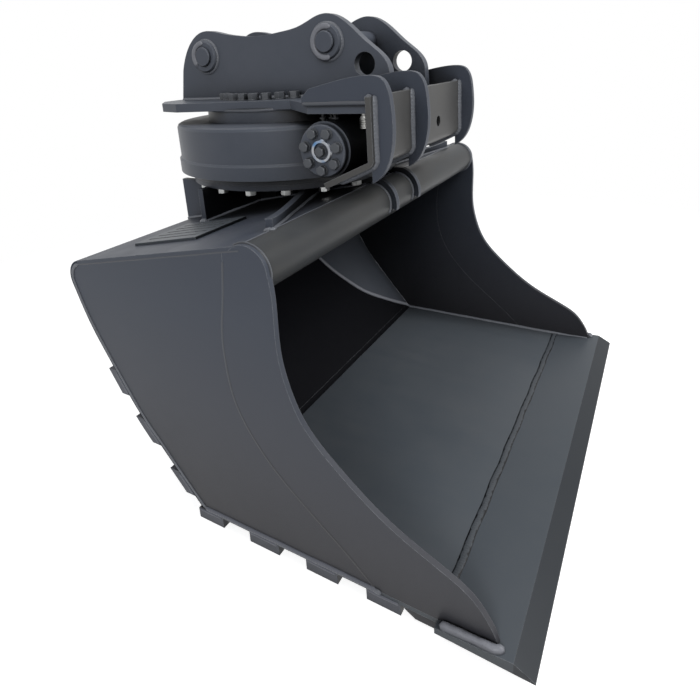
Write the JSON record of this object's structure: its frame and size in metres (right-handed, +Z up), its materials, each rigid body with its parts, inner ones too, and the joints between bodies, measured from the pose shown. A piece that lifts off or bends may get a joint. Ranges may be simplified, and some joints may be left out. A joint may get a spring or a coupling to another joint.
{
  "type": "rotating grading bucket",
  "caption": "Wide open grading bucket with a torque tube and a straight cutting edge, turned on the hitch by a worm-driven slewing ring, with pin ears and a bent guard plate",
  "frame": {"origin": "on the ground under the middle of the bounding box; the slewing axis stands at Y = 0.326 m", "axes": "+X along the bucket's width, +Y to the rear, so the open front faces -Y, +Z up along the slewing axis"},
  "size_m": [1.544, 1.474, 1.4421],
  "materials": {
    "paint": "satin charcoal paint",
    "edge_steel": "satin paint on a hard edge plate",
    "steel": "machined steel",
    "zinc": "bare zinc-plated steel"
  },
  "bodies": {
    "bucket": {"top_plate": "paint", "top_cover": "paint", "back_plate": "paint", "heel_plate": "paint", "floor_plate": "paint", "seam_strip": "paint", "cutting_edge": "edge_steel", "corner_plate_left": "paint", "corner_plate_right": "paint", "side_plate_left": "paint", "side_plate_right": "paint", "side_cutter_left": "paint", "side_cutter_right": "paint", "torque_tube": "paint", "wear_blocks_back_left": "paint", "wear_blocks_back_right": "paint", "wear_blocks_floor_left": "paint", "wear_blocks_floor_right": "paint", "pedestal_web_left": "paint", "pedestal_web_right": "paint", "pedestal_cross_plate": "paint", "pedestal_rear_side_left": "paint", "pedestal_rear_side_right": "paint", "pedestal_wing_left": "paint", "pedestal_wing_right": "paint", "pedestal_ring": "paint", "slew_ring": "paint", "ring_gear": "steel", "lower_bolts": "zinc"},
    "hitch": {"slew_housing": "paint", "slew_hub": "paint", "hub_flange": "paint", "retaining_ring": "paint", "worm_casing": "paint", "worm_bearing_left": "steel", "worm_bearing_right": "steel", "end_cap": "paint", "end_cap_ring": "zinc", "end_cap_bolts": "paint", "end_cap_centre_bolt": "paint", "motor_flange": "paint", "motor_body": "paint", "motor_port_block": "paint", "motor_ports": "zinc", "hitch_plate": "paint", "hitch_bolts": "paint", "ear_left": "paint", "ear_right": "paint", "pin_rear": "paint", "pin_front": "paint", "pin_collar_rear_left": "paint", "pin_collar_rear_right": "paint", "pin_collar_front_left": "paint", "pin_collar_front_right": "paint", "guard_plate": "paint", "guard_rib_1": "paint", "guard_rib_2": "paint", "guard_rib_3": "paint"},
    "worm": {"worm_shaft": "steel"}
  },
  "joints": [
    {"name": "slew", "type": "hinge", "parent": "bucket", "child": "hitch", "pos_m": [0, 0.326, 1], "axis": [0, 0, 1], "continuous": true},
    {"name": "worm_turn", "type": "hinge", "parent": "hitch", "child": "worm", "pos_m": [0, -0.069, 1.071], "axis": [1, 0, 0], "continuous": true}
  ],
  "couplings": [
    {"joint": "worm_turn", "follows": "slew", "ratio": 70}
  ]
}
